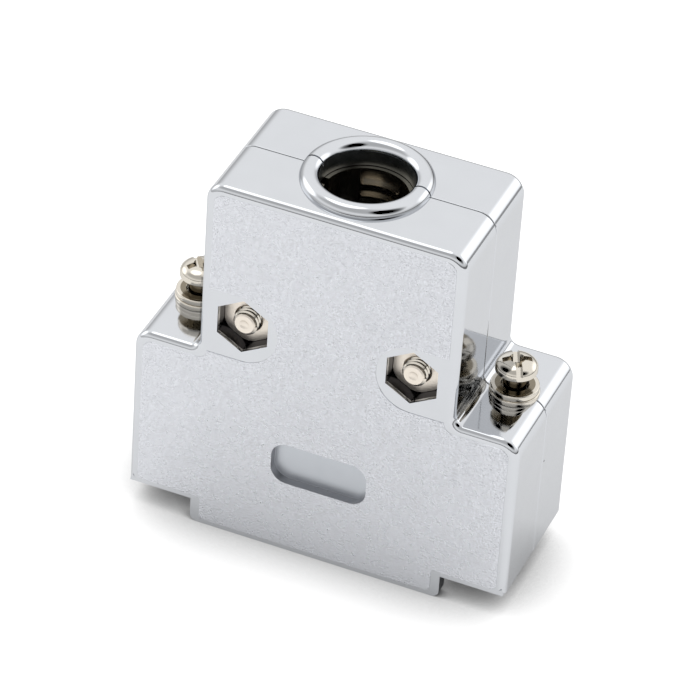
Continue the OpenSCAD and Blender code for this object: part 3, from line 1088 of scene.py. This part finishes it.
def join(piece: Workpiece, extra: bmesh.types.BMesh) -> None:
    """Adds a closed part to a workpiece without a boolean step, as for a thread ridge.

    Args:
        piece: Workpiece that is changed.
        extra: Part that is added, and used up.
    """
    bm = bmesh.new()
    bm.from_mesh(piece.item.data)
    loose = bpy.data.meshes.new("loose")
    extra.to_mesh(loose)
    extra.free()
    bm.from_mesh(loose)
    bpy.data.meshes.remove(loose)
    bm.to_mesh(piece.item.data)
    bm.free()


def place(piece: Workpiece, matrix: Matrix) -> None:
    """Moves a workpiece's mesh, in millimetres."""
    piece.item.data.transform(matrix)


@dataclass
class Washers:
    """Flat and spring washer on one shoulder.

    Args:
        side: Side that they lie on.
        x: Distance from the middle.
        seat: Height of the shoulder.
        bore: Radius of both bores.
        flat_r: Radius of the flat washer.
        flat_t: Thickness of the flat washer.
        spring_r: Radius of the spring washer.
        spring_t: Thickness of the spring washer.
        soft: Rounding of the outer edges of the flat and the spring washer.
        bore_edge: Chamfer at the bores.
        shade_in: Width of the bright rim round the painted shade on their tops.
        split: Width of the spring washer's gap.
        split_at: Angle of the gap from +X, in degrees.
    """

    side: Side
    x: float = JACK_X
    seat: float = SHOULDER_Z
    bore: float = 1.38
    flat_r: float = 2.5
    flat_t: float = 0.55
    spring_r: float = 2.4
    spring_t: float = 0.6
    soft: Span = (0.13, 0.12)
    bore_edge: float = 0.04
    shade_in: float = 0.42
    split: float = 0.5
    split_at: float = 75.0

    def build(self) -> list[bpy.types.Object]:
        """Models and dresses both washers.

        Returns:
            The flat and the spring washer.
        """
        centre = (self.side.value * self.x, 0.0)
        flat = spun_tool(self.section(self.flat_r, self.seat, self.flat_t, self.soft[0]), centre)
        gap = math.degrees(self.split / (self.bore + self.spring_r) * 2)
        spring = spun_tool(
            self.section(self.spring_r, self.seat + self.flat_t, self.spring_t, self.soft[1]), centre,
            start=self.split_at + gap / 2, sweep=360 - gap, steps=90,
        )
        made = []
        for kind, bm in (("flat", flat), ("spring", spring)):
            name = f"{self.side.label}_{kind}_washer"
            item = Workpiece(f"dressed_{name}", bm).finish(SCREW_NICKEL, Slot.SCREW, "hood", [name], sharp=40)
            # The middle of each top gets a painted shade, for the head's shadow and its dark reflection.
            item.data.materials.append(SHADED_NICKEL.build())
            for polygon in item.data.polygons:
                from_axis = math.dist(polygon.center.xy / MM, centre)
                if polygon.normal.z > 0.95 and from_axis < self.spring_r - self.shade_in:
                    polygon.material_index = 1
            made.append(item)
        return made

    def section(self, outer: float, base: float, height: float, soft: float) -> list[Span]:
        """Draws the section of a washer with rounded outer corners.

        Args:
            outer: Outer radius.
            base: Height of the underside.
            height: Thickness.
            soft: Radius of the outer corners.

        Returns:
            The closed section, as (radius, Z) pairs.
        """
        turns = [math.radians(15 * i) for i in range(7)]
        top, edge = base + height, self.bore_edge
        low = [(outer - soft + soft * math.sin(a), base + soft - soft * math.cos(a)) for a in turns]
        high = [(outer - soft + soft * math.cos(a), top - soft + soft * math.sin(a)) for a in turns]
        # The top is split where its painted shade starts.
        return [
            (self.bore, base + edge), (self.bore + edge, base), *low,
            *high, (outer - self.shade_in, top), (self.bore + edge, top), (self.bore, top - edge),
        ]


@dataclass
class CaseFastening:
    """Case screw and nut on one side of the tower.

    Args:
        side: Side that they are on.
        x: Distance from the middle.
        z: Height of their axis.
        head_y: Y of the underside of the screw's head.
        tip_y: Y of the screw's tip.
        screw_r: Radius of the thread's crest.
        thread_h: Height of the thread.
        nut_y: Lowest and highest Y of the nut.
        nut_af: Width of the nut across its flats.
        nut_skirt: Height of the chamfer at the nut's outer corners.
        mouth: How far the cone that cuts the chamfer at the nut's thread widens, and its length.
    """

    side: Side
    x: float = CASE_X
    z: float = CASE_Z
    head_y: float = HEAD_FLOOR
    tip_y: float = -7.35
    screw_r: float = 1.3
    thread_h: float = 0.17
    nut_y: Span = (-6.2, -NUT_FLOOR)
    nut_af: float = 5.0
    nut_skirt: float = 0.3
    mouth: Span = (0.36, 0.32)

    def build(self) -> list[bpy.types.Object]:
        """Models and dresses the screw and its nut."""
        return [self.screw(), self.nut()]

    def screw(self) -> bpy.types.Object:
        """Makes the screw from the back, whose threaded end stands in the nut.

        Returns:
            The finished screw.
        """
        name = self.side.label
        head = Screw(head_d=4.6, head_h=1.7, rim=0.68, crown=0.68, cross=2.85)
        piece = head.head(f"dressed_{name}_case_screw")
        tip, root = self.tip_y - self.head_y, self.screw_r - self.thread_h
        dimple, in_head = tip + 0.12, 0.2
        profile = [
            (0.0, dimple), (0.35, tip + 0.1), (0.5, tip), (root - 0.15, tip), (root, dimple),
            (root, in_head), (0.0, in_head),
        ]
        piece.add(spun_tool(profile, steps=48))
        join(piece, thread_ridge(self.screw_r, root, tip + 0.22, tip + 5.5))
        to_back = Matrix.Rotation(-math.pi / 2, 4, "X")
        place(piece, Matrix.Translation((self.side.value * self.x, self.head_y, self.z)) @ to_back)
        item = piece.finish(SCREW_NICKEL, Slot.SCREW, "hood", [f"{name}_case_screw"])
        item.data.materials.append(NUT_NICKEL.build())
        for polygon in item.data.polygons:
            if polygon.center.y / MM < self.tip_y + 0.13:
                polygon.material_index = 1
        return item

    def nut(self) -> bpy.types.Object:
        """Makes the hexagon nut with chamfered corners and a chamfer at its thread.

        Returns:
            The finished nut.
        """
        name = self.side.label
        corner = self.nut_af / 2 / math.cos(math.radians(30))
        height, bore = self.nut_y[1] - self.nut_y[0], self.screw_r + 0.02
        piece = Workpiece(f"dressed_{name}_case_nut", round_tool((0, 0, 0), corner, height, sides=6))
        outside = corner + 0.01
        profile = [
            (corner + PAST, -PAST), (corner + PAST, height + PAST), (0.9 * corner - 0.3, height + PAST),
            (0.9 * corner, height), (outside, height - self.nut_skirt), (outside, self.nut_skirt * 0.6),
            (0.93 * corner, 0), (0.93 * corner - 0.4, -PAST),
        ]
        piece.cut(spun_tool(profile, start=1.1), round_tool((0, 0, -PAST), bore, height + 2 * PAST, sides=64))
        wider, depth = self.mouth
        start = (0, 0, height - depth / 2)
        piece.cut(round_tool(start, bore, depth, far_radius=self.screw_r + wider, sides=64))
        to_front = Matrix.Rotation(math.pi / 2, 4, "X")
        place(piece, Matrix.Translation((self.side.value * self.x, self.nut_y[1], self.z)) @ to_front)
        return piece.finish(NUT_NICKEL, Slot.SCREW, "hood", [f"{name}_case_nut"])


@dataclass
class Carried:
    """A smoothed copy of a node whose shape is kept.

    Args:
        node: Name of the node.
        body: Body that it rides on.
        finish: Surface of the piece.
        slot: Slot of the record.
    """

    node: str
    body: str
    finish: Finish
    slot: Slot

    def build(self) -> bpy.types.Object:
        """Copies, merges and dresses the node.

        Returns:
            The finished piece.
        """
        bm = bmesh.new()
        bm.from_mesh(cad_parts[self.node].data)
        bmesh.ops.scale(bm, vec=(1 / MM,) * 3, verts=bm.verts)
        bmesh.ops.remove_doubles(bm, verts=bm.verts, dist=TINY)
        return Workpiece(f"dressed_{self.node}", bm).finish(self.finish, self.slot, self.body, [self.node])


# ---------- studio ----------


@dataclass(frozen=True)
class Glow:
    """A soft light patch of the surroundings.

    Args:
        toward: Direction of its middle.
        inner: Angle in degrees inside which it has its full strength.
        outer: Angle in degrees where it ends.
        strength: Radiance that it adds.
    """

    toward: Point
    inner: float
    outer: float
    strength: float


@dataclass
class Studio:
    """Camera, floor and surroundings. A pair of heights or sides holds parts of a unit direction.

    Args:
        azimuth: Angle of the camera round the target, from the front towards +X, in degrees.
        elevation: Its angle above the floor, in degrees.
        roll: Its turn about its own axis, in degrees.
        distance: Its distance from the target, in millimetres.
        target: Point that it looks at, in millimetres.
        lens: Focal length, in millimetres.
        sensor: Width of the sensor, in millimetres.
        clip: Nearest and farthest distance that it sees, in metres.
        floor_size: Half width of the floor, in metres.
        floor_grey: Base colour of the floor.
        sky: Radiance behind the hood.
        front: Radiance low in front of it.
        gloom: Radiance high in front of it.
        front_z: Heights over which the one passes into the other.
        front_y: Depths over which the front passes into the sky.
        haze: Share of the radiance that is left near the floor.
        haze_z: Heights over which the haze ends.
        skirting: Share that is left in a low dark band, which fades away towards the left.
        skirting_z: Heights over which the band ends.
        skirting_x: Sides over which the band sets in.
        mirrored: Brightness of the floor in reflections.
        open_air: Shares of open air over which the floor turns from dark to white.
        seen_reach: Reach of the hood's dark contact on the floor to the eye, in metres.
        mirrored_reach: Reach of that contact in reflections, in metres.
        glows: Patches that are lighter or darker.
    """

    azimuth: float = 20.591
    elevation: float = 37.122
    roll: float = 4.089
    distance: float = 463.392
    target: Point = (-0.529, 0.0, 20.48)
    lens: float = 244.32
    sensor: float = 36.0
    clip: Span = (0.01, 20.0)
    floor_size: float = 0.3
    floor_grey: float = 0.30
    sky: float = 1.14
    front: float = 1.1
    gloom: float = 0.6
    front_z: Span = (0.30, 0.72)
    front_y: Span = (-0.35, 0.15)
    haze: float = 0.6
    haze_z: Span = (0.02, 0.42)
    skirting: float = 0.3
    skirting_z: Span = (0.01, 0.09)
    skirting_x: Span = (-0.7, -0.1)
    mirrored: float = 0.84
    open_air: Span = (0.16, 0.95)
    seen_reach: float = 0.013
    mirrored_reach: float = 0.045
    glows: tuple[Glow, ...] = (
        Glow((0.604, 0.746, 0.20), 12, 30, 0.75),
        Glow((-0.281, 0.0, 0.96), 13, 19, 1.0),
        Glow((-0.93, 0.05, 0.32), 14, 24, 0.8),
        Glow((0.68, -0.32, 0.66), 14, 30, -0.75),
    )

    def build(self) -> None:
        """Sets the view transform and makes the camera, floor and surroundings."""
        bpy.context.scene.view_settings.view_transform = "Standard"
        self.camera()
        self.floor()
        self.surroundings()

    def camera(self) -> None:
        """Places the camera at its angle round the target."""
        a, e, r = (math.radians(v) for v in (self.azimuth, self.elevation, self.roll))
        back = Vector((math.sin(a) * math.cos(e), -math.cos(a) * math.cos(e), math.sin(e)))
        right = Vector((0, 0, 1)).cross(back).normalized()
        up = back.cross(right)
        tilted = math.cos(r) * right + math.sin(r) * up
        raised = math.cos(r) * up - math.sin(r) * right
        spot = (Vector(self.target) + self.distance * back) * MM
        data = bpy.data.cameras.new("camera")
        data.lens, data.sensor_width = self.lens, self.sensor
        data.clip_start, data.clip_end = self.clip
        item = bpy.data.objects.new("camera", data)
        bpy.context.scene.collection.objects.link(item)
        turn = Matrix((tilted, raised, back)).transposed().to_4x4()
        item.matrix_world = Matrix.Translation(spot) @ turn
        bpy.context.scene.camera = item

    def floor(self) -> None:
        """Makes the plain white floor, which keeps the shadow of the hood."""
        bm = bmesh.new()
        bmesh.ops.create_grid(bm, x_segments=1, y_segments=1, size=self.floor_size)
        item = Workpiece.as_object("floor", bm)
        material = bpy.data.materials.new("floor_white")
        material.use_nodes = True
        nodes, links = material.node_tree.nodes, material.node_tree.links
        shader = nodes["Principled BSDF"]
        shader.inputs["Base Color"].default_value = (*(self.floor_grey,) * 3, 1)
        shader.inputs["Roughness"].default_value = 0.9
        shader.inputs["Specular IOR Level"].default_value = 0.0
        shader.inputs["Emission Color"].default_value = (1, 1, 1, 1)
        links.new(self.lift(material.node_tree), shader.inputs["Emission Strength"])
        item.data.materials.append(material)

    def lift(self, tree: bpy.types.NodeTree) -> bpy.types.NodeSocket:
        """Adds the glow that makes the floor white in the open and keeps it dark beside the hood.

        Args:
            tree: Node tree that the nodes go into.

        Returns:
            The glow for camera, glossy and transmission rays, and 0 for the rest.
        """
        path = tree.nodes.new("ShaderNodeLightPath")
        total = None
        for ray, reach, level in (
            ("Is Camera Ray", self.seen_reach, 1.0),
            ("Is Glossy Ray", self.mirrored_reach, self.mirrored),
            ("Is Transmission Ray", self.mirrored_reach, self.mirrored),
        ):
            air = tree.nodes.new("ShaderNodeAmbientOcclusion")
            air.samples = 8
            air.inputs["Distance"].default_value = reach
            clear = self.ramp(tree, air.outputs["AO"], self.open_air, (0.0, level))
            part = self.combined(tree, "MULTIPLY", path.outputs[ray], clear)
            total = part if total is None else self.combined(tree, "MAXIMUM", total, part)
        return total

    def surroundings(self) -> None:
        """Makes the world: white to the eye, and a softly lit room to the hood."""
        world = bpy.data.worlds.new("room")
        bpy.context.scene.world = world
        world.use_nodes = True
        tree = world.node_tree
        nodes, links = tree.nodes, tree.links
        level = self.room(tree, nodes.new("ShaderNodeTexCoord").outputs["Generated"])
        path = nodes.new("ShaderNodeLightPath")
        pick = nodes.new("ShaderNodeMix")
        links.new(path.outputs["Is Camera Ray"], pick.inputs["Factor"])
        links.new(level, pick.inputs["A"])
        pick.inputs["B"].default_value = 1.0
        background = nodes["Background"]
        background.inputs["Color"].default_value = (1, 1, 1, 1)
        links.new(pick.outputs["Result"], background.inputs["Strength"])

    def room(self, tree: bpy.types.NodeTree, toward: bpy.types.NodeSocket) -> bpy.types.NodeSocket:
        """Adds the brightness of the room that the hood mirrors.

        Args:
            tree: Node tree that the nodes go into.
            toward: Direction that is looked at.

        Returns:
            The radiance in that direction.
        """
        axes = ((1.0, 0.0, 0.0), (0.0, 1.0, 0.0), (0.0, 0.0, 1.0))
        x, y, z = (self.along(tree, toward, axis) for axis in axes)
        blend = tree.nodes.new("ShaderNodeMix")
        tree.links.new(self.ramp(tree, y, self.front_y, (0.0, 1.0)), blend.inputs["Factor"])
        tree.links.new(self.ramp(tree, z, self.front_z, (self.front, self.gloom)), blend.inputs["A"])
        blend.inputs["B"].default_value = self.sky
        clear = self.ramp(tree, z, self.haze_z, (self.haze, 1.0))
        level = self.combined(tree, "MULTIPLY", blend.outputs["Result"], clear)
        for glow in self.glows:
            edge = (math.cos(math.radians(glow.outer)), math.cos(math.radians(glow.inner)))
            near = self.along(tree, toward, tuple(Vector(glow.toward).normalized()))
            level = self.combined(tree, "ADD", level, self.ramp(tree, near, edge, (0.0, glow.strength)))
        band = tree.nodes.new("ShaderNodeMix")
        tree.links.new(self.ramp(tree, x, self.skirting_x, (0.0, 1.0)), band.inputs["Factor"])
        band.inputs["A"].default_value = 1.0
        tree.links.new(self.ramp(tree, z, self.skirting_z, (self.skirting, 1.0)), band.inputs["B"])
        return self.combined(tree, "MULTIPLY", level, band.outputs["Result"])

    @staticmethod
    def combined(
        tree: bpy.types.NodeTree, operation: str, one: bpy.types.NodeSocket, other: bpy.types.NodeSocket
    ) -> bpy.types.NodeSocket:
        """Adds a math node on two values.

        Args:
            tree: Node tree that it goes into.
            operation: Blender's name of the operation.
            one: First value.
            other: Second value.

        Returns:
            The result.
        """
        node = tree.nodes.new("ShaderNodeMath")
        node.operation = operation
        tree.links.new(one, node.inputs[0])
        tree.links.new(other, node.inputs[1])
        return node.outputs[0]

    @staticmethod
    def along(tree: bpy.types.NodeTree, toward: bpy.types.NodeSocket, axis: Point) -> bpy.types.NodeSocket:
        """Adds the part of a direction that lies along an axis.

        Args:
            tree: Node tree that the node goes into.
            toward: The direction.
            axis: The axis, of unit length.

        Returns:
            The cosine of the angle between the two.
        """
        product = tree.nodes.new("ShaderNodeVectorMath")
        product.operation = "DOT_PRODUCT"
        tree.links.new(toward, product.inputs[0])
        product.inputs[1].default_value = axis
        return product.outputs["Value"]

    @staticmethod
    def ramp(
        tree: bpy.types.NodeTree, value: bpy.types.NodeSocket, source: Span, result: Span
    ) -> bpy.types.NodeSocket:
        """Adds a smooth step from one span of values to another.

        Args:
            tree: Node tree that the node goes into.
            value: Value that is mapped.
            source: Span that it comes from.
            result: Values at the span's two ends.

        Returns:
            The mapped value.
        """
        step = tree.nodes.new("ShaderNodeMapRange")
        step.interpolation_type = "SMOOTHSTEP"
        for name, number in zip(("From Min", "From Max", "To Min", "To Max"), (*source, *result)):
            step.inputs[name].default_value = number
        tree.links.new(value, step.inputs["Value"])
        return step.outputs["Result"]


def main() -> None:
    """Builds the studio and every piece in order."""
    logging.basicConfig(level=logging.INFO, format="%(name)s: %(message)s")
    Studio().build()
    made = [Shell(face).build() for face in Face]
    for side, turn in ((Side.LEFT, 45.0), (Side.RIGHT, 29.0)):
        name = side.label
        made.append(Jackscrew(side, turn).build())
        made += Washers(side).build()
        made += CaseFastening(side).build()
        made.append(Carried(f"{name}_retaining_ring", f"{name}_ring", SCREW_NICKEL, Slot.SCREW).build())
        made.append(Carried(f"{name}_clamp_screw", "hood", STRAP_NICKEL, Slot.CLAMP).build())
        made.append(Carried(f"{name}_clamp_nut", "hood", STRAP_NICKEL, Slot.CLAMP).build())
    made += [Carried(f"{face.label}_clamp_strap", "hood", STRAP_NICKEL, Slot.CLAMP).build() for face in Face]
    for item in made:
        LOG.info("%s: %d faces", item.name, len(item.data.polygons))


if __name__ == "__main__":
    main()
